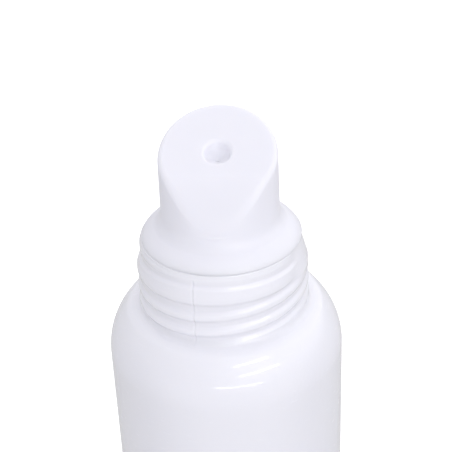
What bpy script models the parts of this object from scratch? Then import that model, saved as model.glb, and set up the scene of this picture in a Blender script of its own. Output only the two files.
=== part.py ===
"""Squeeze dropper bottle with a slanted applicator tip.

Two solids: a blow-moulded bottle with a two-start threaded neck, and the hollow slanted
applicator that plugs into the neck bore and can be pulled straight up out of it.
Metres, +Z up. The origin is on the bottle's axis, at the level of the face it stands on.
The slanted face looks towards -Y, apart from the applicator's small turn in the neck.
"""

import math

import bmesh
import bpy
from mathutils import Vector

MM = 0.001
TURN = 2.0 * math.pi

# ---- driving dimensions, in millimetres -------------------------------------------------
BODY_RADIUS = 11.0           # outside of the straight body
BODY_HEIGHT = 38.0           # standing face up to where the shoulder starts to round in
BODY_WALL = 0.9
BASE_THICKNESS = 1.1
BASE_CORNER = 1.8            # rounding between the standing face and the body
STANDING_FACE = 1.4          # width of the flat ring that the bottle stands on
PUSH_UP = 0.7                # how far the middle of the base is domed up
PUSH_UP_BEND_OUT = 0.55      # share of the way out at which the push-up bends down
PUSH_UP_BEND_UP = 0.8        # share of its height that it still has there
SHOULDER_HEIGHT = 5.0        # straight body up to the foot of the neck
SHOULDER_LEDGE = 0.9         # flat ring around the foot of the neck
SHOULDER_SPREAD = 7.1        # half-width of the ellipse that rounds the shoulder
NECK_HEIGHT = 7.0
NECK_RADIUS = 7.35           # thread root
NECK_FOOT = 0.65             # collar around the foot of the neck, beyond the thread root
COLLAR_EDGE = 0.33           # upright edge of the collar
COLLAR_HEIGHT = 0.98         # where the collar has run into the neck
BORE_RADIUS = 6.0
LIP_BAND = 1.1               # smooth band under the neck's rim, above the thread
RIM_EDGE = 0.35              # rounding of the neck's rim

THREAD_DEPTH = 0.49
THREAD_PITCH = 1.5           # from one ridge to the next
THREAD_STARTS = 2
THREAD_START_ANGLE = 227.0   # degrees from +X to where the first start leaves the collar
THREAD_CREST = 0.36          # width of the flat along a ridge
THREAD_FOOT = 1.05           # width of a ridge where it meets the neck
THREAD_SINK = 0.25           # how far a ridge reaches into the neck wall before they are joined
THREAD_RUN_OUT = 0.11        # turns over which a ridge rises out of the neck at each end
THREAD_END = 0.35            # share of its height that a ridge has at its very end

TIP_RADIUS = 5.34
TIP_WALL_FOOT = 2.6          # tip's straight wall starts this far above the neck's rim
FACE_HEIGHT = 8.2            # slanted face above the rim, on the axis
FACE_SLOPE = 0.42            # rise of the slanted face for each millimetre towards its back
FACE_ROLL_START = 2.6        # distance in front of the axis where the face starts to roll down
FACE_ROLL_DROP = 2.85        # how far the face rolls down below its own plane at the tip's front
FACE_ROLL_POWER = 1.85       # how late the roll gets steep
APPLICATOR_TURN = -6.0       # degrees that the applicator is turned in the neck
RIM_ROUND = 0.4              # rounding between the slanted face and the tip's wall
ORIFICE_RADIUS = 1.2
CHANNEL_BOTTOM = 6.2         # where the outlet channel opens from the hollow, above the rim
SKIRT_SET_BACK = 0.10        # skirt's edge inside the outside of the neck
SKIRT_EDGE = 0.55            # upright edge of the skirt, above its underside
FILLET_RADIUS = 0.7          # hollow rounding between the tip's wall and the skirt
FILLET_END = 225.0           # degrees at which the hollow rounding meets the skirt's dome
DOME_SET_OUT = 0.21          # centre of the skirt's dome outside the tip's wall
DOME_TOP = 70.0              # degrees at which the skirt's dome starts
PLUG_LENGTH = 6.0
PLUG_WALL = 1.0
PLUG_LEAD = 0.5              # taper at the plug's lower end
SEAL_RINGS = 2
SEAL_PROUD = 0.14            # how far a sealing ring stands out of the plug
SEAL_WIDTH = 0.5             # half-width of a sealing ring at its foot
SEAL_CREST = 0.125           # half-width of the flat along a sealing ring
HOLLOW_TOP = 1.4             # plug's straight hollow ends this far above the rim
HOLLOW_CHAMFER = 0.5         # slope at the top of the plug's hollow

# ---- clearances, in millimetres ----------------------------------------------------------
SEAT_GAP = 0.3               # underside of the skirt to the neck's rim
PLUG_GAP = 0.3               # plug to the neck's bore

# ---- facets --------------------------------------------------------------------------------
SEGMENTS = 60                # around every turned shape
THREAD_STEPS_PER_TURN = 36
SHOULDER_STEPS = 7
BASE_STEPS = 4
INNER_BASE_STEPS = 3
NECK_RIM_STEPS = 2
FACE_RINGS = 4
FACE_RIM_STEPS = 3
FILLET_STEPS = 2
DOME_STEPS = 4
SHARP_ANGLE = 35.0           # degrees between facets that still look smooth
NEAR = 0.02                  # millimetres within which two places count as the same

# ---- sizes that follow ---------------------------------------------------------------------
RIM_Z = BODY_HEIGHT + SHOULDER_HEIGHT + NECK_HEIGHT
NECK_FOOT_Z = BODY_HEIGHT + SHOULDER_HEIGHT
SEAT_Z = RIM_Z + SEAT_GAP
PLUG_RADIUS = BORE_RADIUS - PLUG_GAP
SKIRT_RADIUS = NECK_RADIUS - SKIRT_SET_BACK
THREAD_FOOT_Z = NECK_FOOT_Z + COLLAR_HEIGHT + THREAD_FOOT / 2.0
THREAD_LEAD = THREAD_PITCH * THREAD_STARTS
THREAD_TURNS = (RIM_Z - LIP_BAND - THREAD_FOOT / 2.0 - THREAD_FOOT_Z) / THREAD_LEAD
TIP_TOP_Z = RIM_Z + FACE_HEIGHT + FACE_SLOPE * TIP_RADIUS


def clear_scene():
    """Remove whatever the file opened with."""
    for leftover in list(bpy.data.objects):
        bpy.data.objects.remove(leftover, do_unlink=True)


def make_plastic(name, colour, roughness):
    """Glossy moulded plastic."""
    material = bpy.data.materials.new(name)
    material.use_nodes = True
    shader = material.node_tree.nodes["Principled BSDF"]
    shader.inputs["Base Color"].default_value = (*colour, 1.0)
    shader.inputs["Roughness"].default_value = roughness
    shader.inputs["Metallic"].default_value = 0.0
    return material


def arc(centre, radii, start, end, steps):
    """Points (r, z) along an elliptical arc, angles in degrees from +r towards +z."""
    points = []
    for step in range(steps + 1):
        angle = math.radians(start + (end - start) * step / steps)
        points.append((centre[0] + radii[0] * math.cos(angle), centre[1] + radii[1] * math.sin(angle)))
    return points


def turn_profile(profile, closed):
    """Spin an (r, z) outline, in millimetres, about the Z axis into a closed mesh."""
    mesh = bmesh.new()
    verts = [mesh.verts.new(Vector((r * MM, 0.0, z * MM))) for r, z in profile]
    edges = [mesh.edges.new(pair) for pair in zip(verts, verts[1:])]
    if closed:
        edges.append(mesh.edges.new((verts[-1], verts[0])))
    bmesh.ops.spin(
        mesh,
        geom=verts + edges,
        cent=(0.0, 0.0, 0.0),
        axis=(0.0, 0.0, 1.0),
        angle=TURN,
        steps=SEGMENTS,
        use_merge=True,
    )
    bmesh.ops.remove_doubles(mesh, verts=mesh.verts, dist=1e-6)
    bmesh.ops.recalc_face_normals(mesh, faces=mesh.faces)
    return mesh


def add_object(name, mesh, material):
    """Turn a bmesh into a named, smooth-shaded object."""
    data = bpy.data.meshes.new(name)
    mesh.to_mesh(data)
    mesh.free()
    data.shade_smooth()
    data.set_sharp_from_angle(angle=math.radians(SHARP_ANGLE))
    data.materials.append(material)
    item = bpy.data.objects.new(name, data)
    bpy.context.collection.objects.link(item)
    return item


# ---- bottle ----------------------------------------------------------------------------------
def shoulder_points(inset):
    """Outline of the rounded shoulder from the straight body up to the ledge at the neck."""
    centre_r = BODY_RADIUS - SHOULDER_SPREAD
    ledge_r = NECK_RADIUS + NECK_FOOT + SHOULDER_LEDGE
    end_angle = math.degrees(math.acos((ledge_r - centre_r) / SHOULDER_SPREAD))
    rise = SHOULDER_HEIGHT / math.sin(math.radians(end_angle))
    radii = (SHOULDER_SPREAD - inset, rise - inset)
    return arc((centre_r, BODY_HEIGHT), radii, 0.0, end_angle, SHOULDER_STEPS)


def bottle_profile():
    """Closed wall section of the bottle, from the middle of the base outside to inside."""
    ring_outer = BODY_RADIUS - BASE_CORNER
    ring_inner = ring_outer - STANDING_FACE
    collar_r = NECK_RADIUS + NECK_FOOT
    inner_r = BODY_RADIUS - BODY_WALL
    inner_corner = BASE_CORNER - BODY_WALL / 2.0
    bend = (ring_inner * PUSH_UP_BEND_OUT, PUSH_UP * PUSH_UP_BEND_UP)
    outside = [(0.0, PUSH_UP), bend, (ring_inner, 0.0)]
    outside += arc((ring_outer, BASE_CORNER), (BASE_CORNER, BASE_CORNER), -90.0, 0.0, BASE_STEPS)
    outside += shoulder_points(0.0)
    outside += [(collar_r, NECK_FOOT_Z), (collar_r, NECK_FOOT_Z + COLLAR_EDGE)]
    outside += [(NECK_RADIUS, NECK_FOOT_Z + COLLAR_HEIGHT)]
    rim_centre = (NECK_RADIUS - RIM_EDGE, RIM_Z - RIM_EDGE)
    outside += arc(rim_centre, (RIM_EDGE, RIM_EDGE), 0.0, 90.0, NECK_RIM_STEPS)
    bore_foot = (BORE_RADIUS, NECK_FOOT_Z - BODY_WALL)
    shoulder_inside = [point for point in shoulder_points(BODY_WALL) if point[0] > BORE_RADIUS + BODY_WALL]
    inside = [(BORE_RADIUS, RIM_Z), bore_foot] + shoulder_inside[::-1]
    corner_centre = (inner_r - inner_corner, BASE_THICKNESS + inner_corner)
    inside += arc(corner_centre, (inner_corner, inner_corner), 0.0, -90.0, INNER_BASE_STEPS)
    inside += [(0.0, BASE_THICKNESS + PUSH_UP)]
    return outside + inside


def thread_ridge(start_angle):
    """One start of the neck's right-hand thread: a section spun up a helix, tapering at its ends."""
    steps = math.ceil(THREAD_STEPS_PER_TURN * THREAD_TURNS)
    crest_r = NECK_RADIUS + THREAD_DEPTH
    foot_r = NECK_RADIUS - THREAD_SINK
    section = [(foot_r, -THREAD_FOOT / 2.0), (crest_r, -THREAD_CREST / 2.0)]
    section += [(crest_r, THREAD_CREST / 2.0), (foot_r, THREAD_FOOT / 2.0)]
    turned = (math.cos(start_angle), math.sin(start_angle))
    mesh = bmesh.new()
    places = [Vector((r * turned[0], r * turned[1], THREAD_FOOT_Z + z)) * MM for r, z in section]
    verts = [mesh.verts.new(place) for place in places]
    face = mesh.faces.new(verts)
    bmesh.ops.spin(
        mesh,
        geom=[face],
        cent=(0.0, 0.0, 0.0),
        axis=(0.0, 0.0, 1.0),
        dvec=(0.0, 0.0, THREAD_LEAD * THREAD_TURNS * MM / steps),
        angle=TURN * THREAD_TURNS,
        steps=steps,
        use_merge=False,
    )
    taper_ends(mesh, start_angle)
    bmesh.ops.remove_doubles(mesh, verts=mesh.verts, dist=1e-7)
    bmesh.ops.recalc_face_normals(mesh, faces=mesh.faces)
    return mesh


def taper_ends(mesh, start_angle):
    """Bring the ridge down into the neck over its first and last stretch."""
    foot_r = NECK_RADIUS - THREAD_SINK
    for vert in mesh.verts:
        height = vert.co.z / MM - THREAD_FOOT_Z
        around = (math.atan2(vert.co.y, vert.co.x) - start_angle) / TURN % 1.0
        along = around + round(height / THREAD_LEAD - around)
        share = min(along, THREAD_TURNS - along) / THREAD_RUN_OUT
        share = max(0.0, min(1.0, share))
        radius = math.hypot(vert.co.x, vert.co.y) / MM
        wanted = foot_r + (radius - foot_r) * (THREAD_END + (1.0 - THREAD_END) * share)
        vert.co.x *= wanted / radius
        vert.co.y *= wanted / radius


def build_bottle(material):
    """Bottle body, shoulder and neck as one solid, with the thread's ridges joined on."""
    bottle = add_object("bottle_body", turn_profile(bottle_profile(), closed=False), material)
    for start in range(THREAD_STARTS):
        angle = math.radians(THREAD_START_ANGLE) + TURN * start / THREAD_STARTS
        ridge = add_object("thread_start_%d" % (start + 1), thread_ridge(angle), material)
        ridge.hide_render = True
        ridge.display_type = "WIRE"
        ridge.parent = bottle
        join = bottle.modifiers.new("join_" + ridge.name, "BOOLEAN")
        join.operation = "UNION"
        join.solver = "EXACT"
        join.object = ridge
    return bottle


# ---- applicator ------------------------------------------------------------------------------
def face_height(y):
    """Height of the slanted face above the neck's rim, at a distance y behind the axis."""
    share = max(0.0, -y - FACE_ROLL_START) / (TIP_RADIUS - FACE_ROLL_START)
    return FACE_HEIGHT + FACE_SLOPE * y - FACE_ROLL_DROP * min(1.0, share) ** FACE_ROLL_POWER


def applicator_profile():
    """Closed section of the applicator before its top is slanted, from the channel outwards."""
    plug_bottom = RIM_Z - PLUG_LENGTH
    hollow_r = PLUG_RADIUS - PLUG_WALL
    hollow_top = RIM_Z + HOLLOW_TOP
    wall_foot = RIM_Z + TIP_WALL_FOOT
    channel_z = RIM_Z + CHANNEL_BOTTOM
    skirt_top = wall_foot - FILLET_RADIUS
    dome_r = TIP_RADIUS + DOME_SET_OUT
    inside = [(hollow_r, plug_bottom), (hollow_r, hollow_top - HOLLOW_CHAMFER)]
    inside += [(hollow_r - HOLLOW_CHAMFER, hollow_top)]
    inside += [(ORIFICE_RADIUS, channel_z)]
    face = [(ORIFICE_RADIUS, TIP_TOP_Z)]
    flat_r = TIP_RADIUS - RIM_ROUND
    for ring in range(1, FACE_RINGS + 1):
        face.append((ORIFICE_RADIUS + (flat_r - ORIFICE_RADIUS) * ring / FACE_RINGS, TIP_TOP_Z))
    rim = arc((flat_r, TIP_TOP_Z - RIM_ROUND), (RIM_ROUND, RIM_ROUND), 90.0, 0.0, FACE_RIM_STEPS)[1:]
    wall = [(TIP_RADIUS, wall_foot)]
    fillet_centre = (TIP_RADIUS + FILLET_RADIUS, wall_foot)
    fillet = arc(fillet_centre, (FILLET_RADIUS, FILLET_RADIUS), 180.0, FILLET_END, FILLET_STEPS)[1:]
    edge_z = SEAT_Z + SKIRT_EDGE
    dome = arc((dome_r, edge_z), (SKIRT_RADIUS - dome_r, skirt_top - edge_z), DOME_TOP, 0.0, DOME_STEPS)
    seat = [(SKIRT_RADIUS, SEAT_Z), (PLUG_RADIUS, SEAT_Z)]
    return inside + face + rim + wall + fillet + dome + seat + plug_outside(plug_bottom)


def plug_outside(plug_bottom):
    """Outside of the plug from the seat down: sealing rings, then the lead-in taper."""
    points = []
    spacing = PLUG_LENGTH / (SEAL_RINGS + 1)
    for ring in range(SEAL_RINGS):
        middle = RIM_Z - spacing * (ring + 1)
        points += [(PLUG_RADIUS, middle + SEAL_WIDTH), (PLUG_RADIUS + SEAL_PROUD, middle + SEAL_CREST)]
        points += [(PLUG_RADIUS + SEAL_PROUD, middle - SEAL_CREST), (PLUG_RADIUS, middle - SEAL_WIDTH)]
    points += [(PLUG_RADIUS, plug_bottom + PLUG_LEAD), (PLUG_RADIUS - PLUG_LEAD / 2.0, plug_bottom)]
    return points


def slant_top(mesh):
    """Lower the flat top onto the slanted face, and shorten the wall and channel to meet it."""
    for vert in mesh.verts:
        z = vert.co.z / MM
        radius = math.hypot(vert.co.x, vert.co.y) / MM
        inner = radius < ORIFICE_RADIUS + NEAR
        foot = RIM_Z + (CHANNEL_BOTTOM if inner else TIP_WALL_FOOT)
        surface = RIM_Z + face_height(vert.co.y / MM)
        rim_z = TIP_TOP_Z - (0.0 if inner else RIM_ROUND)
        outer = radius > TIP_RADIUS - RIM_ROUND - NEAR
        if z <= foot + NEAR or not (inner or outer or z > TIP_TOP_Z - NEAR):
            continue
        if z >= rim_z - NEAR:
            vert.co.z = (surface + z - TIP_TOP_Z) * MM
        else:
            share = (z - foot) / (rim_z - foot)
            vert.co.z = (foot + share * (surface + rim_z - TIP_TOP_Z - foot)) * MM


def build_applicator(material):
    """Slanted tip, skirt and plug in one hollow piece, its origin on the line that it lifts along."""
    mesh = turn_profile(applicator_profile(), closed=True)
    slant_top(mesh)
    bmesh.ops.translate(mesh, verts=mesh.verts, vec=(0.0, 0.0, -RIM_Z * MM))
    applicator = add_object("slant_applicator", mesh, material)
    applicator.location = (0.0, 0.0, RIM_Z * MM)
    applicator.rotation_euler = (0.0, 0.0, math.radians(APPLICATOR_TURN))
    return applicator


def main():
    clear_scene()
    bottle_plastic = make_plastic("bottle_plastic", (0.86, 0.87, 0.89), 0.28)
    tip_plastic = make_plastic("tip_plastic", (0.88, 0.88, 0.90), 0.24)
    build_bottle(bottle_plastic)
    build_applicator(tip_plastic)


main()
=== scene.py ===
"""Squeeze dropper bottle with a slanted applicator: fine surfaces, plastics, floor, lights and camera."""

import math

import bmesh
import bpy
import numpy as np
from bpy.props import FloatProperty, FloatVectorProperty, IntProperty, PointerProperty
from mathutils import Matrix, Vector


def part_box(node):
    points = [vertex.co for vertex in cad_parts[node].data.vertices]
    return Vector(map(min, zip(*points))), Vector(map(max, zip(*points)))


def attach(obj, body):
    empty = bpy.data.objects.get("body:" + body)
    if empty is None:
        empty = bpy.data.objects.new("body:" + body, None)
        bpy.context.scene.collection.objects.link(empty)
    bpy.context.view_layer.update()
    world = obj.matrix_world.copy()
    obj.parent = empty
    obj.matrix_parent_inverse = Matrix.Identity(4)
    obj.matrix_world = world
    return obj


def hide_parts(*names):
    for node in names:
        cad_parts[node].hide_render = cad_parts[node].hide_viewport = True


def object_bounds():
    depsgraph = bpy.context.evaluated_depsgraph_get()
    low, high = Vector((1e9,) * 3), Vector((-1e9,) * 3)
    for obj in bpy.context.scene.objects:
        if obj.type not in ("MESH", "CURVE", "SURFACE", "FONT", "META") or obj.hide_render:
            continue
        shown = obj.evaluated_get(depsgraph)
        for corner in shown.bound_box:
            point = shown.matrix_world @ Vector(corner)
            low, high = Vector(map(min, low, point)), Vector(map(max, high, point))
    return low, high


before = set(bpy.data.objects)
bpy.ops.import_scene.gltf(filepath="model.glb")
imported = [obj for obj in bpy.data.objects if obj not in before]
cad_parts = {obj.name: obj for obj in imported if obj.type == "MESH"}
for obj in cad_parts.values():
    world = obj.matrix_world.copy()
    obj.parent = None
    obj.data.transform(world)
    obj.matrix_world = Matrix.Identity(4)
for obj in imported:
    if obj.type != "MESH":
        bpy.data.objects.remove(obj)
cad_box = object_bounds()

bl_info = {
    "name": "Squeeze Dropper Bottle",
    "version": (1, 0),
    "blender": (4, 5, 0),
    "location": "3D View > Sidebar > Bottle",
    "description": "Builds a squeeze bottle with a slanted applicator tip, its plastics and its studio",
    "category": "Object",
}

MM = 0.001
TURN = 2.0 * math.pi
FRONT = -0.5 * math.pi           # the slanted face looks towards -Y

# ---- places read from the frame ------------------------------------------------------------
bottle_low, bottle_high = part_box("bottle_body")
tip_low, tip_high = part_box("slant_applicator")
BODY_RADIUS = bottle_high[0]
RIM_Z = bottle_high[2]
PLUG_BOTTOM = tip_low[2]
SKIRT_RADIUS = tip_high[0]
TIP_TOP = tip_high[2]


def length_property(name, description, default):
    """A length property, in metres."""
    return FloatProperty(name=name, description=description, default=default, unit="LENGTH", precision=5)


def angle_property(name, description, degrees):
    """An angle property, its default given in degrees."""
    return FloatProperty(name=name, description=description, default=math.radians(degrees), subtype="ANGLE")


def colour_property(name, description, default):
    """A colour property."""
    return FloatVectorProperty(name=name, description=description, default=default, subtype="COLOR")


class BottleSizes(bpy.types.PropertyGroup):
    """Sizes of the blow-moulded bottle."""

    body_height: length_property("Body height", "Standing face to where the shoulder starts", 0.038)
    wall: length_property("Wall", "Thickness of the body's wall", 0.0009)
    base_corner: length_property("Base corner", "Rounding between the base and the body", 0.0018)
    push_up: length_property("Push-up", "How far the middle of the base is domed up", 0.0007)
    standing_ring: length_property("Standing ring", "Width of the flat ring that it stands on", 0.0014)
    shoulder_spread: length_property("Shoulder spread", "Half-width of the shoulder's ellipse", 0.0071)
    neck_height: length_property("Neck height", "Shoulder to rim", 0.007)
    neck_radius: length_property("Neck radius", "At the root of the thread", 0.00735)
    bore_radius: length_property("Bore radius", "Inside of the neck", 0.006)
    thread_depth: length_property("Thread depth", "Root to crest", 0.00049)
    steps: IntProperty(name="Steps", description="Divisions around the bottle", default=288, min=32)


class ApplicatorSizes(bpy.types.PropertyGroup):
    """Sizes of the slanted applicator."""

    tip_radius: length_property("Tip radius", "Of the tip's wall, at its foot", 0.00534)
    draft: length_property("Draft", "How much narrower the tip is at its top", 0.00006)
    wall_foot: length_property("Wall foot", "Tip's straight wall starts this far above the rim", 0.0026)
    face_height: length_property("Face height", "Slanted face above the rim, on the axis", 0.0082)
    face_slope: FloatProperty(name="Face slope", description="Rise per unit towards the back", default=0.42)
    roll_start: length_property("Roll start", "Ahead of the axis, where the face starts to roll down", 0.0026)
    roll_drop: length_property("Roll drop", "How far the face has rolled down at the tip's front", 0.00285)
    turn: angle_property("Turn", "How far the applicator is turned in the neck", -6.0)
    rim_round: length_property("Rim rounding", "Between the face and the wall", 0.00050)
    orifice_radius: length_property("Orifice radius", "Mouth of the outlet", 0.00112)
    plug_radius: length_property("Plug radius", "Outside of the plug in the neck", 0.0057)
    plug_wall: length_property("Plug wall", "Thickness of the plug", 0.001)
    steps: IntProperty(name="Steps", description="Divisions around the applicator", default=256, min=32)


class PlasticLook(bpy.types.PropertyGroup):
    """Colours and gloss of the two plastics."""

    bottle_colour: colour_property("Bottle colour", "White of the bottle", (0.790, 0.790, 0.850))
    tip_colour: colour_property("Tip colour", "White of the applicator", (0.780, 0.780, 0.845))
    bottle_gloss: FloatProperty(name="Bottle roughness", description="Base roughness", default=0.28, min=0.0)
    tip_gloss: FloatProperty(name="Tip roughness", description="Base roughness", default=0.3, min=0.0)


class StudioSettings(bpy.types.PropertyGroup):
    """Camera and light settings."""

    elevation: angle_property("Elevation", "Camera above level", 31.23)
    roll: angle_property("Roll", "Camera's turn about its own line of sight", 2.57)
    distance: length_property("Distance", "Camera to the neck's rim, along its view", 0.1085)
    lens: FloatProperty(name="Lens", description="Focal length", default=95.6, unit="CAMERA")
    aim_right: length_property("Aim right", "Camera's aim to the right of the rim's centre", 0.00043)
    aim_up: length_property("Aim up", "Camera's aim above the rim's centre", 0.00051)
    sky: FloatProperty(name="Sky", description="Strength of the soft surroundings", default=1.0)


# ---- outlines ------------------------------------------------------------------------------
def arc(centre, radii, start, end, count):
    """Points (r, z) along an elliptical arc, angles in degrees from +r towards +z, first one left out."""
    turns = [math.radians(start + (end - start) * step / count) for step in range(1, count + 1)]
    return [(centre[0] + radii[0] * math.cos(turn), centre[1] + radii[1] * math.sin(turn)) for turn in turns]


def line(start, end, count):
    """Points (r, z) along a straight run, its first one left out."""
    shares = [step / count for step in range(1, count + 1)]
    return [tuple(a + (b - a) * share for a, b in zip(start, end)) for share in shares]


def bend(first, corner, last, count):
    """Points that round the corner between two runs, its first one left out."""
    first, corner, last = Vector(first), Vector(corner), Vector(last)
    shares = [step / count for step in range(1, count + 1)]
    return [
        tuple(first * (1.0 - share) ** 2 + corner * 2.0 * share * (1.0 - share) + last * share ** 2)
        for share in shares
    ]


def turn_outline(outline, steps, closed):
    """Spin an (r, z) outline about the Z axis into a closed, outward-facing bmesh."""
    mesh = bmesh.new()
    verts = [mesh.verts.new((r, 0.0, z)) for r, z in outline]
    edges = [mesh.edges.new(pair) for pair in zip(verts, verts[1:])]
    if closed:
        edges.append(mesh.edges.new((verts[-1], verts[0])))
    bmesh.ops.spin(
        mesh,
        geom=verts + edges,
        cent=(0.0, 0.0, 0.0),
        axis=(0.0, 0.0, 1.0),
        angle=TURN,
        steps=steps,
        use_merge=True,
    )
    bmesh.ops.remove_doubles(mesh, verts=mesh.verts, dist=1e-7)
    bmesh.ops.recalc_face_normals(mesh, faces=mesh.faces)
    return mesh


def finish_piece(name, mesh, move, material, body, node):
    """Make the object, move its points with a function of (angle, radius, z), and tie it to the frame."""
    data = bpy.data.meshes.new(name)
    mesh.to_mesh(data)
    mesh.free()
    points = np.empty(len(data.vertices) * 3)
    data.vertices.foreach_get("co", points)
    points = points.reshape(-1, 3)
    angle = np.arctan2(points[:, 1], points[:, 0])
    radius = np.hypot(points[:, 0], points[:, 1])
    angle, radius, height = move(angle, radius, points[:, 2])
    moved = np.stack([radius * np.cos(angle), radius * np.sin(angle), height], axis=1)
    data.vertices.foreach_set("co", moved.ravel())
    data.update()
    data.shade_smooth()
    data.materials.append(material)
    piece = bpy.data.objects.new(name, data)
    bpy.context.scene.collection.objects.link(piece)
    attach(piece, body)
    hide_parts(node)
    return piece


def smooth(share):
    """Smooth step of an array or number, from 0 to 1."""
    share = np.clip(share, 0.0, 1.0)
    return share * share * (3.0 - 2.0 * share)


# ---- bottle --------------------------------------------------------------------------------
LIP_ROUND = 0.00009
LIP_DROP = 0.00009
RIM_EDGE = 0.0002                # rounding of the rim towards the bore
LEDGE_RADIUS = 0.00915
LEDGE_ROUND = 0.0011
LEDGE_CORNER = LEDGE_ROUND * 0.4
LEDGE_SLOPE = 0.00004
FOOT_FILLET = 0.00045
LEDGE_REACH = 0.0012             # beyond the neck, where the thread's relief has faded out
LEDGE_FADE = 0.0009
NECK_SLACK = 0.0002
BASE_THICKNESS = 0.0011
LIP_SHARE = 0.98                 # part of the lip's rounding that still moves

# the neck's relief: depths in millimetres, negative below the rim; places in degrees to the right of
# the front; heights as shares of the thread's depth
PARTING = -20.4                  # parting line of the mould's halves
LEAD = 3.0
SLOW_CLIMB = 0.0070              # for each degree, on the mould half at the left
QUICK_CLIMB = 0.0115
QUICK_END = 62.0
CREST_HALF = 0.10
FLANK = 0.56
RUN_IN = 0.09                    # turns
RUN_OUT = 0.14
LOWER_START = (-5.60, -0.42, 0.64)   # depth in front, first and last turn
UPPER_START = (-4.03, -1.2, 0.45)
LIP_HEIGHT = 0.24
LIP_BOTTOM = -0.50
LIP_RUN = 0.42
PAD_END = 59.0
PAD_BOTTOM = -2.60
PAD_BASE = 0.22
PAD_CLIMB = 0.0046
RIDGE_CLIMB = 0.0058
RIDGE_BEND = 69.6                # left of the parting line, where the ridge starts to climb quickly
LEAN_TOP = -1.05
LEAN_CLIMB = 0.0150
LEAN_LEAST = 1.1
LEAN_CREST = 0.25
BACK = -180.0
VALLEY_FILL = 0.52
VALLEY_TOP = -0.9
VALLEY_DROP = 0.9                # how much lower the filled valleys start in the lip's groove
COLLAR_TOP = -6.45
COLLAR_LIMITS = (-6.85, -5.8)
FOOT_FILL = 0.22
FOOT_TOP = -6.2
CONE_TOP = -0.85
CONE_LENGTH = 1.8
CONE_SET_IN = -0.45
CONE_END = 175.0
FLASH = 0.030
FLASH_PLACE = 1.0                # degrees from the parting line
FLASH_WIDTH = 0.6
SEAM_DEPTH = 0.060
SEAM_PLACE = -0.1
SEAM_WIDTH = 0.5
SEAM_TOP = -0.45
SEAM_BOTTOM = -7.3
GATHER = math.radians(5.0)       # reach of the finer steps beside the parting line
GATHER_SHARE = 0.8


def bottle_outline(sizes):
    """Closed section of the bottle, from the outside of the base round to its inside."""
    body, neck = BODY_RADIUS, sizes.neck_radius
    neck_foot = RIM_Z - sizes.neck_height
    ring_outer = body - sizes.base_corner
    ring_inner = ring_outer - sizes.standing_ring
    crown = (ring_inner ** 2 + sizes.push_up ** 2) / (2.0 * sizes.push_up)
    crown_edge = math.degrees(math.asin(ring_inner / crown))
    outline = [(0.0, sizes.push_up)]
    outline += arc((0.0, sizes.push_up - crown), (crown, crown), 90.0, 90.0 - crown_edge, 14)
    outline += line(outline[-1], (ring_outer, 0.0), 3)
    outline += arc((ring_outer, sizes.base_corner), (sizes.base_corner, sizes.base_corner), -90.0, 0.0, 12)
    outline += line(outline[-1], (body, sizes.body_height), 24)
    centre = body - sizes.shoulder_spread
    rise = shoulder_rise(sizes)
    shoulder_end = math.degrees(math.acos((LEDGE_RADIUS - centre) / sizes.shoulder_spread))
    outline += arc((centre, sizes.body_height), (sizes.shoulder_spread, rise), 0.0, shoulder_end, 44)
    ledge = (LEDGE_RADIUS - LEDGE_ROUND, neck_foot - LEDGE_SLOPE)
    ledge_corner = (LEDGE_RADIUS - LEDGE_CORNER, neck_foot - LEDGE_SLOPE * 1.5)
    outline += bend(outline[-1], ledge_corner, ledge, 12)
    outline += line(outline[-1], (neck + FOOT_FILLET, neck_foot), 14)
    foot_centre = (neck + FOOT_FILLET, neck_foot + FOOT_FILLET)
    outline += arc(foot_centre, (FOOT_FILLET, FOOT_FILLET), 270.0, 180.0, 10)
    outline += line(outline[-1], (neck, RIM_Z - LIP_DROP), 130)
    lip_corner = (neck - LIP_ROUND * 0.2, RIM_Z - LIP_DROP * 0.45)
    outline += bend(outline[-1], lip_corner, (neck - LIP_ROUND, RIM_Z), 14)
    return outline + bottle_inside(sizes, centre, rise, neck_foot)


def shoulder_rise(sizes):
    """Half-height of the shoulder's ellipse, which reaches the foot of the neck at the ledge."""
    centre = BODY_RADIUS - sizes.shoulder_spread
    share = (LEDGE_RADIUS - LEDGE_CORNER - centre) / sizes.shoulder_spread
    return (RIM_Z - sizes.neck_height - sizes.body_height) / math.sqrt(1.0 - share ** 2)


def bottle_inside(sizes, centre, rise, neck_foot):
    """Rim, bore and inner walls of the bottle, down to the middle of the base."""
    wall, bore = sizes.wall, sizes.bore_radius
    inner_body = BODY_RADIUS - wall
    corner = sizes.base_corner - wall / 2.0
    floor = BASE_THICKNESS
    inside = line((sizes.neck_radius - LIP_ROUND, RIM_Z), (bore + RIM_EDGE, RIM_Z), 3)
    inside += arc((bore + RIM_EDGE, RIM_Z - RIM_EDGE), (RIM_EDGE, RIM_EDGE), 90.0, 180.0, 4)
    inside += line(inside[-1], (bore, neck_foot - wall), 6)
    inner_spread, inner_rise = sizes.shoulder_spread - wall, rise - wall
    top_angle = math.degrees(math.acos((bore + wall - centre) / inner_spread))
    inside += arc((centre, sizes.body_height), (inner_spread, inner_rise), top_angle, 0.0, 14)
    inside += line(inside[-1], (inner_body, floor + corner), 5)
    inside += arc((inner_body - corner, floor + corner), (corner, corner), 0.0, -90.0, 6)
    return inside + line(inside[-1], (0.0, floor + sizes.push_up), 6)


def ramp(value, start, run):
    """0 up to the start, 1 from a run beyond it, smooth between; a negative run falls instead."""
    return smooth((value - start) / run)


def band(depth, top, bottom, run):
    """1 between two depths, falling to 0 over a run beyond each."""
    return smooth(np.minimum(top + run - depth, depth - bottom + run) / run)


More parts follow.
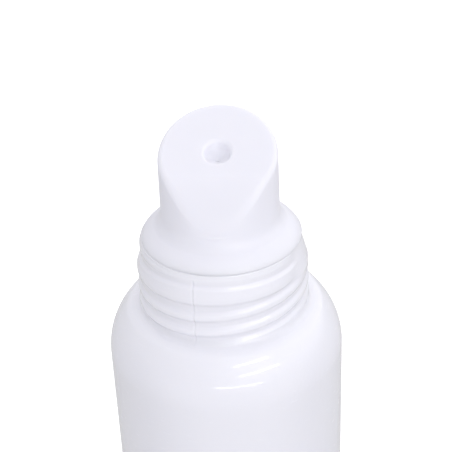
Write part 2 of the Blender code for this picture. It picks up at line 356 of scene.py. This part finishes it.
def thread_climb(off):
    """How far the thread has climbed at a place off the front; the mould's halves climb unequally."""
    left = (np.minimum(off, PARTING) - PARTING) * SLOW_CLIMB + PARTING * QUICK_CLIMB
    front = (np.clip(off, PARTING, QUICK_END) - PARTING) * QUICK_CLIMB
    whole_left = (BACK - PARTING) * SLOW_CLIMB + PARTING * QUICK_CLIMB
    rest = (LEAD + whole_left - QUICK_END * QUICK_CLIMB) / (-BACK - QUICK_END)
    return left + front + np.maximum(off - QUICK_END, 0.0) * rest


def thread_start(off, depth, start):
    """One start of the thread, from its depth in front and the turns at which it begins and ends."""
    middle, first, last = start
    line = middle + thread_climb(off)
    turn = np.round((depth - line) / LEAD)
    along = turn + off / 360.0
    fade = ramp(along, first, RUN_IN) * ramp(along, last, -RUN_OUT)
    line = line + LEAD * turn
    return fade * band(depth, line + CREST_HALF, line - CREST_HALF, FLANK)


def upper_ridge(off, depth):
    """The thread's last turn, which leans out from the lip's groove; in front it widens into a filled pad."""
    left = np.minimum(off - PARTING, 0.0)
    right = np.maximum(off - PARTING, 0.0)
    slow = RIDGE_CLIMB * np.maximum(left, -RIDGE_BEND) + PAD_CLIMB * right
    bottom = PAD_BOTTOM + slow + QUICK_CLIMB * np.minimum(left + RIDGE_BEND, 0.0)
    start = np.maximum(LEAN_TOP + LEAN_CLIMB * left, bottom + LEAN_LEAST)
    base = PAD_BASE * ramp(left, -75.0, 75.0)
    lean = np.clip((start - depth) / (start - bottom - LEAN_CREST), 0.0, 1.0)
    ends = ramp(off, PAD_END + 3.0, -24.0) * ramp(off, BACK, 50.0)
    height = base + (1.0 - base) * (lean + smooth(lean)) / 2.0
    return ends * height * band(depth, LIP_BOTTOM, bottom, FLANK)


def neck_height_field(off, depth):
    """How far the neck stands out, as a share of the thread's depth."""
    lip = LIP_HEIGHT * band(depth, LIP_BOTTOM, LIP_BOTTOM - 0.15, LIP_RUN)
    lip = lip * ramp(off, PAD_END + 6.0, -30.0) * ramp(off, BACK, 50.0)
    height = np.maximum(lip, thread_start(off, depth, LOWER_START))
    height = np.maximum(height, thread_start(off, depth, UPPER_START))
    height = np.maximum(height, upper_ridge(off, depth))
    collar = np.clip(COLLAR_TOP + thread_climb(off), *COLLAR_LIMITS)
    height = np.maximum(height, ramp(depth, collar, -0.4))
    height = np.maximum(height, FOOT_FILL * ramp(depth, FOOT_TOP, -0.5))
    groove = ramp(off, PARTING, -90.0) * ramp(off, BACK, 60.0)
    fill = VALLEY_FILL * ramp(depth, VALLEY_TOP - VALLEY_DROP * groove, -0.5)
    height = fill + (1.0 - fill) * height
    over = ramp(off, PAD_END - 8.0, 16.0) * ramp(off, CONE_END, -40.0)
    cone = np.clip((CONE_TOP - depth) / CONE_LENGTH, CONE_SET_IN, 1.0)
    above = depth > UPPER_START[0] + thread_climb(off)
    return np.where(above, height * (1.0 - over) + cone * over, height)


def parting_line(off, depth):
    """Millimetres added along the mould halves' parting line: a fine groove beside a thread of flash."""
    fade = ramp(depth, SEAM_TOP, -0.3) * ramp(depth, SEAM_BOTTOM, 0.3)
    result = 0.0
    for side in (PARTING, PARTING + 180.0):
        away = (off - side + 180.0) % 360.0 - 180.0
        result = result + FLASH * np.exp(-(((away - FLASH_PLACE) / FLASH_WIDTH) ** 2))
        result = result - SEAM_DEPTH * np.exp(-(((away - SEAM_PLACE) / SEAM_WIDTH) ** 2))
    return result * fade


def gather(angle):
    """Angles drawn together towards the parting line, so that its fine groove has enough points."""
    away = (angle - FRONT - math.radians(PARTING) + math.pi) % TURN - math.pi
    return angle - GATHER_SHARE * GATHER * np.tanh(away / GATHER) * (1.0 - np.abs(away) / math.pi)


def move_bottle(sizes):
    """The function that raises the neck's thread on the turned bottle."""

    def move(angle, radius, height):
        angle = gather(angle)
        off = (np.degrees(angle - FRONT) + 180.0) % 360.0 - 180.0
        depth = (height - RIM_Z) / MM
        outside = radius > sizes.neck_radius - LIP_ROUND * LIP_SHARE
        on_neck = outside & (height > RIM_Z - sizes.neck_height - NECK_SLACK)
        raised = neck_height_field(off, depth) * sizes.thread_depth + parting_line(off, depth) * MM
        ledge = np.clip((sizes.neck_radius + LEDGE_REACH - radius) / LEDGE_FADE, 0.0, 1.0)
        lip = smooth((radius - sizes.neck_radius + LIP_ROUND) / LIP_ROUND)
        return angle, radius + np.where(on_neck, raised * ledge * lip, 0.0), height

    return move


# ---- applicator ----------------------------------------------------------------------------
FACE_RINGS = 64
WALL_ROWS = 60
FACE_ROLL_POWER = 1.85           # how late the face's roll gets steep
SEAT_GAP = 0.00003
HOLLOW_TOP = 0.0014              # above the rim
HOLLOW_CHAMFER = 0.0005
THROAT_FOOT = 0.0052             # where the outlet's narrow bore starts, above the rim
OUTLET_BORE = 0.0001
OUTLET_ROUND = 0.00035
FUNNEL_FOOT = 0.0072
FUNNEL_CORNER = (0.0003, 0.0002)
FUNNEL_MOUTH = (0.9, 0.0012)     # share of the outlet's radius, and how far below the tip's top
SKIRT_FILLET = 0.0017
FILLET_END = 234.0
SKIRT_EDGE = 0.00003
SKIRT_REACH = 0.00003
DOME_TOP = 52.0
DOME_FOOT = 24.0
SEAL_PROUD = 0.00014
SEAL_HALF = 0.0004
PLUG_LEAD = 0.0005
TIP_SLACK = 1.0005               # both slacks keep rounding errors from leaving points behind
OUTLET_SLACK = 1.01


def face_level(sizes, y):
    """Height of the slanted face above the rim: a plane that rolls down towards the front."""
    reach = sizes.tip_radius - sizes.roll_start
    share = np.clip((-y - sizes.roll_start) / reach, 0.0, 1.0)
    return sizes.face_height + sizes.face_slope * y - sizes.roll_drop * share ** FACE_ROLL_POWER


def applicator_outline(sizes):
    """Closed section of the applicator before its flat top is slanted."""
    orifice, top, seat = sizes.orifice_radius, TIP_TOP, RIM_Z + SEAT_GAP
    hollow = sizes.plug_radius - sizes.plug_wall
    wall_foot = RIM_Z + sizes.wall_foot
    tip = sizes.tip_radius
    flat = tip - sizes.draft - sizes.rim_round
    outline = [(hollow, PLUG_BOTTOM), (hollow, RIM_Z + HOLLOW_TOP - HOLLOW_CHAMFER)]
    outline += [(hollow - HOLLOW_CHAMFER, RIM_Z + HOLLOW_TOP)]
    outline += line(outline[-1], (OUTLET_BORE, RIM_Z + THROAT_FOOT), 8)
    outline += line(outline[-1], (OUTLET_BORE, RIM_Z + FUNNEL_FOOT), 3)
    funnel_corner = (OUTLET_BORE + FUNNEL_CORNER[0], RIM_Z + FUNNEL_FOOT + FUNNEL_CORNER[1])
    funnel_mouth = (orifice * FUNNEL_MOUTH[0], top - FUNNEL_MOUTH[1])
    outline += bend(outline[-1], funnel_corner, funnel_mouth, 12)
    outline += line(outline[-1], (orifice, top - OUTLET_ROUND), 10)
    edge_centre = (orifice + OUTLET_ROUND, top - OUTLET_ROUND)
    outline += arc(edge_centre, (OUTLET_ROUND, OUTLET_ROUND), 180.0, 90.0, 10)
    outline += line(outline[-1], (flat, top), FACE_RINGS)
    outline += arc((flat, top - sizes.rim_round), (sizes.rim_round, sizes.rim_round), 90.0, 0.0, 12)
    outline += line(outline[-1], (tip, wall_foot), WALL_ROWS)
    outline += skirt_outline(sizes, wall_foot, seat)
    return outline + plug_outline(sizes, seat)


def skirt_outline(sizes, wall_foot, seat):
    """Hollow fillet at the tip's foot, then the domed skirt down to its seat."""
    tip = sizes.tip_radius
    outline = arc((tip + SKIRT_FILLET, wall_foot), (SKIRT_FILLET, SKIRT_FILLET), 180.0, FILLET_END, 12)
    high, low = math.radians(DOME_TOP), math.radians(DOME_FOOT)
    reach = SKIRT_RADIUS + SKIRT_REACH
    start, edge = outline[-1], seat + SKIRT_EDGE
    across = (reach - start[0]) / (math.cos(low) - math.cos(high))
    up = (start[1] - edge) / (math.sin(high) - math.sin(low))
    centre = (reach - across * math.cos(low), edge - up * math.sin(low))
    outline += arc(centre, (across, up), DOME_TOP, DOME_FOOT, 26)
    return outline + arc((reach - SKIRT_EDGE, edge), (SKIRT_EDGE, SKIRT_EDGE), 0.0, -90.0, 5)


def plug_outline(sizes, seat):
    """Underside of the skirt and the outside of the plug, with its sealing rings."""
    plug = sizes.plug_radius
    lip = (SKIRT_RADIUS - SKIRT_EDGE, seat)
    outline = [lip] + line(lip, (plug, seat), 4)
    reach = RIM_Z - PLUG_BOTTOM
    for ring in (1.0, 2.0):
        middle = RIM_Z - reach * ring / 3.0
        outline += line(outline[-1], (plug, middle + SEAL_HALF), 3)
        outline += arc((plug, middle), (SEAL_PROUD, SEAL_HALF), 90.0, -90.0, 8)
    outline += line(outline[-1], (plug, PLUG_BOTTOM + PLUG_LEAD), 3)
    return outline + line(outline[-1], (plug - PLUG_LEAD / 2.0, PLUG_BOTTOM), 2)


def move_applicator(sizes):
    """The function that lowers the turned tip's flat top onto the slanted face."""

    def move(angle, radius, height):
        y = radius * np.sin(angle - sizes.turn)
        drop = TIP_TOP - (RIM_Z + face_level(sizes, y))
        tip = radius <= sizes.tip_radius * TIP_SLACK
        inner = radius < sizes.orifice_radius + OUTLET_ROUND * OUTLET_SLACK
        foot = np.where(inner, RIM_Z + FUNNEL_FOOT, RIM_Z + sizes.wall_foot)
        crown = np.where(inner, TIP_TOP - OUTLET_ROUND, TIP_TOP - sizes.rim_round)
        share = np.clip((height - foot) / (crown - foot), 0.0, 1.0)
        moving = tip & (height > foot)
        return angle, radius, height - np.where(moving, drop * share, 0.0)

    return move


# ---- shader helpers ------------------------------------------------------------------------
SHADED_BODY_TOP = 0.034                # up to this height the bottle is painted a little darker: painted shade below the lit shoulder
LIT_SHOULDER_FOOT = 0.0435              # from this height the shoulder and neck are painted in the full colour: a painted lighter top where the top light falls
PLASTIC_COAT_IOR = 1.5


class Value:
    """A shader socket that takes part in plain arithmetic."""

    def __init__(self, tree, socket):
        self.tree = tree
        self.socket = socket

    def _math(self, operation, first, second):
        node = self.tree.nodes.new("ShaderNodeMath")
        node.operation = operation
        for slot, item in zip(node.inputs, (first, second)):
            if isinstance(item, Value):
                self.tree.links.new(item.socket, slot)
            else:
                slot.default_value = item
        return Value(self.tree, node.outputs[0])

    def __add__(self, other):
        return self._math("ADD", self, other)

    __radd__ = __add__

    def __sub__(self, other):
        return self._math("SUBTRACT", self, other)

    def __rsub__(self, other):
        return self._math("SUBTRACT", other, self)

    def __mul__(self, other):
        return self._math("MULTIPLY", self, other)

    __rmul__ = __mul__


class Nodes:
    """A node tree, with one method that adds any node."""

    def __init__(self, tree):
        self.tree = tree

    def node(self, kind, settings=None, output=0, **sockets):
        """Add a node: its settings first, then the values or links of its sockets; gives one output."""
        node = self.tree.nodes.new(kind)
        for name, setting in (settings or {}).items():
            setattr(node, name, setting)
        self.fill(node, sockets)
        return Value(self.tree, node.outputs[output])

    def fill(self, node, sockets):
        """Set or link a node's input sockets by name, or by place for names like in_2."""
        for name, item in sockets.items():
            place = int(name[3:]) if name.startswith("in_") else name.replace("_", " ")
            slot = node.inputs[place]
            if isinstance(item, Value):
                self.tree.links.new(item.socket, slot)
            else:
                slot.default_value = item

    def axes(self, output):
        """The X, Y and Z parts of a direction or place."""
        split = self.tree.nodes.new("ShaderNodeSeparateXYZ")
        self.tree.links.new(output.socket, split.inputs[0])
        return [Value(self.tree, part) for part in split.outputs]

    def place(self, scale=(1.0, 1.0, 1.0)):
        """The piece's own coordinates, scaled along each axis."""
        where = self.node("ShaderNodeTexCoord", output=3)
        return self.node("ShaderNodeMapping", Vector=where, Scale=scale)

    def noise(self, where, scale, detail=2.0, roughness=0.5):
        """Soft noise, its scale in cells for each metre."""
        return self.node("ShaderNodeTexNoise", Vector=where, Scale=scale, Detail=detail, Roughness=roughness)

    def span(self, value, low, high):
        """0 below low, 1 above high, smooth between."""
        return self.node(
            "ShaderNodeMapRange",
            {"interpolation_type": "SMOOTHSTEP"},
            in_0=value,
            in_1=low,
            in_2=high,
            in_3=0.0,
            in_4=1.0,
        )

    def mix(self, share, first, second):
        """Blend of two colours."""
        settings = {"data_type": "RGBA"}
        return self.node("ShaderNodeMix", settings, output=2, in_0=share, in_6=first, in_7=second)

    def bump(self, height, strength, distance, normal=None):
        """Fine relief in the shading, on top of another one if it is given."""
        more = {"Normal": normal} if normal is not None else {}
        return self.node("ShaderNodeBump", Height=height, Strength=strength, Distance=distance, **more)


class Shader(Nodes):
    """A material's node tree around its Principled BSDF."""

    def __init__(self, name):
        self.material = bpy.data.materials.new(name)
        self.material.use_nodes = True
        super().__init__(self.material.node_tree)
        self.surface = self.tree.nodes["Principled BSDF"]


def shade(colour, factor):
    """A colour made lighter or darker, as a shader colour."""
    return tuple(part * factor for part in colour) + (1.0,)


def soft_plastic(shader, subsurface, ior):
    """Sockets that white polyethylene keeps the same all over."""
    shader.fill(
        shader.surface,
        {
            "Subsurface Weight": subsurface,
            "Subsurface Radius": (1.0, 0.95, 0.9),
            "Subsurface Scale": 0.0009,
            "IOR": ior,
        },
    )


def bottle_material(look):
    """White squeeze-bottle plastic: glossy, painted a little darker below the shoulder as painted shade, with
    flow marks and scuffs.
    """
    shader = Shader("bottle_plastic")
    colour = tuple(look.bottle_colour)
    where = shader.place()
    height = shader.axes(where)[2]
    painted_lit_top = shader.span(height, SHADED_BODY_TOP, LIT_SHOULDER_FOOT)
    cloud = shader.noise(where, 260.0, 3.0)
    flow = shader.noise(shader.place((1.0, 1.0, 0.12)), 900.0, 3.0, 0.6)
    speck = shader.span(shader.noise(where, 5200.0, 1.0), 0.74, 0.80)
    # painted shade: below the shoulder the colour is 2% darker, so the shoulder and neck look lit from above
    body = shader.mix(painted_lit_top, shade(colour, 0.98), shade(colour, 1.0))
    body = shader.mix(cloud * 0.35, body, shade((colour[0] * 0.985, colour[1] * 0.99, colour[2]), 0.975))
    body = shader.mix(speck * 0.25, body, shade(colour, 0.86))
    scuff = shader.noise(shader.place((0.35, 0.35, 2.2)), 2600.0, 2.0)
    scuffed = shader.span(scuff, 0.62, 0.78)
    rough = look.bottle_gloss + 0.05 * flow + 0.10 * scuffed
    peel = shader.noise(where, 1500.0, 2.0)
    wave = shader.noise(where, 180.0, 1.0)
    normal = shader.bump(peel, 0.06, 0.0002)
    normal = shader.bump(wave, 0.10, 0.0008, normal)
    normal = shader.bump(flow, 0.04, 0.0002, normal)
    soft_plastic(shader, 0.5, 1.45)
    shader.fill(shader.surface, {"Base Color": body, "Roughness": rough, "Normal": normal})
    coat = 0.85 - 0.5 * scuffed
    shader.fill(
        shader.surface,
        {"Coat Weight": coat, "Coat Roughness": 0.05, "Coat IOR": PLASTIC_COAT_IOR},
    )
    return shader.material


def tip_material(look):
    """White applicator plastic: a softer, finely grained surface with faint flow clouds."""
    shader = Shader("tip_plastic")
    colour = tuple(look.tip_colour)
    where = shader.place()
    cloud = shader.noise(where, 320.0, 3.0)
    grain = shader.noise(where, 9000.0, 2.0)
    speck = shader.span(shader.noise(where, 4700.0, 1.0), 0.75, 0.81)
    body = shader.mix(cloud * 0.5, shade(colour, 1.0), shade(colour, 0.972))
    body = shader.mix(speck * 0.2, body, shade(colour, 0.88))
    smear = shader.span(shader.noise(shader.place((1.0, 0.4, 1.0)), 700.0, 2.0), 0.5, 0.75)
    rough = look.tip_gloss + 0.10 * smear + 0.04 * grain
    wave = shader.noise(where, 240.0, 1.0)
    normal = shader.bump(grain, 0.05, 0.0001)
    normal = shader.bump(wave, 0.10, 0.0006, normal)
    soft_plastic(shader, 0.45, 1.51)
    shader.fill(shader.surface, {"Base Color": body, "Roughness": rough, "Normal": normal})
    return shader.material


def floor_material():
    """Plain pale studio sweep with a barely visible grain."""
    shader = Shader("studio_floor")
    where = shader.place()
    tone = shader.noise(where, 60.0, 2.0)
    colour = shader.mix(tone, (0.95, 0.95, 0.95, 1.0), (0.97, 0.97, 0.97, 1.0))
    shader.fill(shader.surface, {"Base Color": colour, "Roughness": 0.9, "Specular IOR Level": 0.0})
    shader.fill(shader.surface, {"Emission Color": (1.0, 1.0, 1.0, 1.0), "Emission Strength": 0.25})
    return shader.material


# ---- operators -----------------------------------------------------------------------------
class BOTTLE_OT_body(bpy.types.Operator):
    """Build the bottle with its shoulder and threaded neck"""

    bl_idname = "bottle.body"
    bl_label = "Bottle Body"

    def execute(self, context):
        sizes = context.scene.bottle_sizes
        material = bottle_material(context.scene.plastic_look)
        mesh = turn_outline(bottle_outline(sizes), sizes.steps, closed=False)
        finish_piece(
            "bottle_shell",
            mesh,
            move_bottle(sizes),
            material,
            "bottle",
            "bottle_body",
        )
        return {"FINISHED"}


class BOTTLE_OT_applicator(bpy.types.Operator):
    """Build the slanted applicator with its skirt and plug"""

    bl_idname = "bottle.applicator"
    bl_label = "Slanted Applicator"

    def execute(self, context):
        sizes = context.scene.applicator_sizes
        material = tip_material(context.scene.plastic_look)
        mesh = turn_outline(applicator_outline(sizes), sizes.steps, closed=True)
        finish_piece(
            "applicator_tip",
            mesh,
            move_applicator(sizes),
            material,
            "applicator",
            "slant_applicator",
        )
        return {"FINISHED"}


class BOTTLE_OT_studio(bpy.types.Operator):
    """Lay the floor and set up the lights and the camera"""

    bl_idname = "bottle.studio"
    bl_label = "Studio"

    def execute(self, context):
        settings = context.scene.studio_settings
        lay_floor()
        set_surroundings(context.scene, settings.sky)
        set_lights()
        set_camera(context.scene, settings)
        context.scene.view_settings.view_transform = "Standard"
        return {"FINISHED"}


FLOOR_RADIUS = 1.2
SKY_COLOUR = (0.99, 0.985, 1.0, 1.0)

# brightness of the surroundings by direction
SKY_LEAST = 0.38
SKY_EVEN = 0.905
SKY_RIGHT = 0.20
SKY_BACK = 0.14                  # how much darker at the back
SKY_LEFT = 0.23
SKY_OVERHEAD = 0.32              # share by which it is darker straight above
BELOW_EVEN = 0.30
BELOW_FRONT = 0.66

STRIP_DISTANCE = 0.9
STRIPS = (                       # azimuth, elevation and half-spread in degrees, thickness, radiance
    ("strip_low", 10.0, 5.0, 22.0, 0.036, 7.0),
    ("strip_middle", 31.0, 22.0, 19.0, 0.042, 9.0),
    ("strip_high", 27.0, 38.0, 16.0, 0.042, 10.0),
    ("strip_top", 20.0, 64.0, 14.0, 0.030, 6.0),
)


def lay_floor():
    """A wide level floor that neither bounces light onto the bottle nor shows in its gloss."""
    mesh = bmesh.new()
    bmesh.ops.create_circle(mesh, cap_ends=True, segments=96, radius=FLOOR_RADIUS)
    bmesh.ops.translate(mesh, verts=mesh.verts, vec=(0.0, 0.0, cad_box[0][2]))
    data = bpy.data.meshes.new("studio_floor")
    mesh.to_mesh(data)
    mesh.free()
    data.materials.append(floor_material())
    floor = bpy.data.objects.new("studio_floor", data)
    floor.visible_diffuse = False
    floor.visible_glossy = False
    bpy.context.scene.collection.objects.link(floor)


def set_surroundings(scene, strength):
    """Soft white surroundings: bright above the horizon, and below it only in front."""
    world = bpy.data.worlds.new("studio")
    world.use_nodes = True
    nodes = Nodes(world.node_tree)
    right, back, up = nodes.axes(nodes.node("ShaderNodeTexCoord", output=0))
    above = nodes.span(up, 0.04, 0.13)
    overhead = nodes.span(up, 0.78, 0.93)
    in_front = nodes.span(-1.0 * back, 0.0, 0.95)
    on_left = nodes.span(-1.0 * right, 0.1, 0.9)
    level = SKY_EVEN + SKY_RIGHT * right - SKY_BACK * back - SKY_LEFT * on_left
    upper = level * (1.0 - SKY_OVERHEAD * overhead)
    lower = BELOW_EVEN + BELOW_FRONT * in_front
    light = SKY_LEAST + above * upper + (1.0 - above) * lower
    nodes.fill(world.node_tree.nodes["Background"], {"Color": SKY_COLOUR, "Strength": light * strength})
    scene.world = world


def add_strip(name, azimuth, elevation, spread, thickness, radiance):
    """A slim lamp facing the bottle, seen only in its gloss; azimuth runs to the right from the front."""
    width = 2.0 * STRIP_DISTANCE * math.tan(math.radians(spread))
    light = bpy.data.lights.new(name, "AREA")
    light.shape = "RECTANGLE"
    light.size = width
    light.size_y = thickness
    light.energy = math.pi * width * thickness * radiance
    item = bpy.data.objects.new(name, light)
    level = math.cos(math.radians(elevation))
    turned = math.radians(azimuth)
    away = Vector((math.sin(turned) * level, -math.cos(turned) * level, math.sin(math.radians(elevation))))
    item.location = Vector((0.0, 0.0, RIM_Z)) + away * STRIP_DISTANCE
    item.rotation_euler = away.to_track_quat("Z", "Y").to_euler()
    item.visible_diffuse = False
    bpy.context.scene.collection.objects.link(item)


def set_lights():
    """Slim lamps in front, a little to the right, for the gloss of the shoulder."""
    for strip in STRIPS:
        add_strip(*strip)


def set_camera(scene, settings):
    """Camera at the set elevation, aimed at the neck's rim."""
    tilt = settings.elevation
    forward = Vector((0.0, math.cos(tilt), -math.sin(tilt)))
    right, up = Vector((1.0, 0.0, 0.0)), Vector((0.0, math.sin(tilt), math.cos(tilt)))
    turn = settings.roll
    view_right = right * math.cos(turn) - up * math.sin(turn)
    view_up = right * math.sin(turn) + up * math.cos(turn)
    target = Vector((0.0, 0.0, RIM_Z)) + view_right * settings.aim_right + view_up * settings.aim_up
    data = bpy.data.cameras.new("camera")
    data.lens = settings.lens
    data.sensor_width = 36.0
    data.clip_start = 0.005
    camera = bpy.data.objects.new("camera", data)
    axes = Matrix((view_right, view_up, -forward)).transposed().to_4x4()
    camera.matrix_world = Matrix.Translation(target - forward * settings.distance) @ axes
    scene.collection.objects.link(camera)
    scene.camera = camera


class BOTTLE_PT_panel(bpy.types.Panel):
    """Sidebar panel that lists the bottle's operators"""

    bl_label = "Squeeze Dropper Bottle"
    bl_idname = "BOTTLE_PT_panel"
    bl_space_type = "VIEW_3D"
    bl_region_type = "UI"
    bl_category = "Bottle"

    def draw(self, context):
        for operator in OPERATORS:
            self.layout.operator(operator.bl_idname)


OPERATORS = (BOTTLE_OT_studio, BOTTLE_OT_body, BOTTLE_OT_applicator)
GROUPS = {
    "bottle_sizes": BottleSizes,
    "applicator_sizes": ApplicatorSizes,
    "plastic_look": PlasticLook,
    "studio_settings": StudioSettings,
}


def register():
    for group in GROUPS.values():
        bpy.utils.register_class(group)
    for name, group in GROUPS.items():
        setattr(bpy.types.Scene, name, PointerProperty(type=group))
    for item in OPERATORS + (BOTTLE_PT_panel,):
        bpy.utils.register_class(item)


def unregister():
    for item in (BOTTLE_PT_panel,) + OPERATORS[::-1]:
        bpy.utils.unregister_class(item)
    for name in GROUPS:
        delattr(bpy.types.Scene, name)
    for group in GROUPS.values():
        bpy.utils.unregister_class(group)


def main():
    register()
    bpy.ops.bottle.studio()
    bpy.ops.bottle.body()
    bpy.ops.bottle.applicator()


if __name__ == "__main__":
    main()
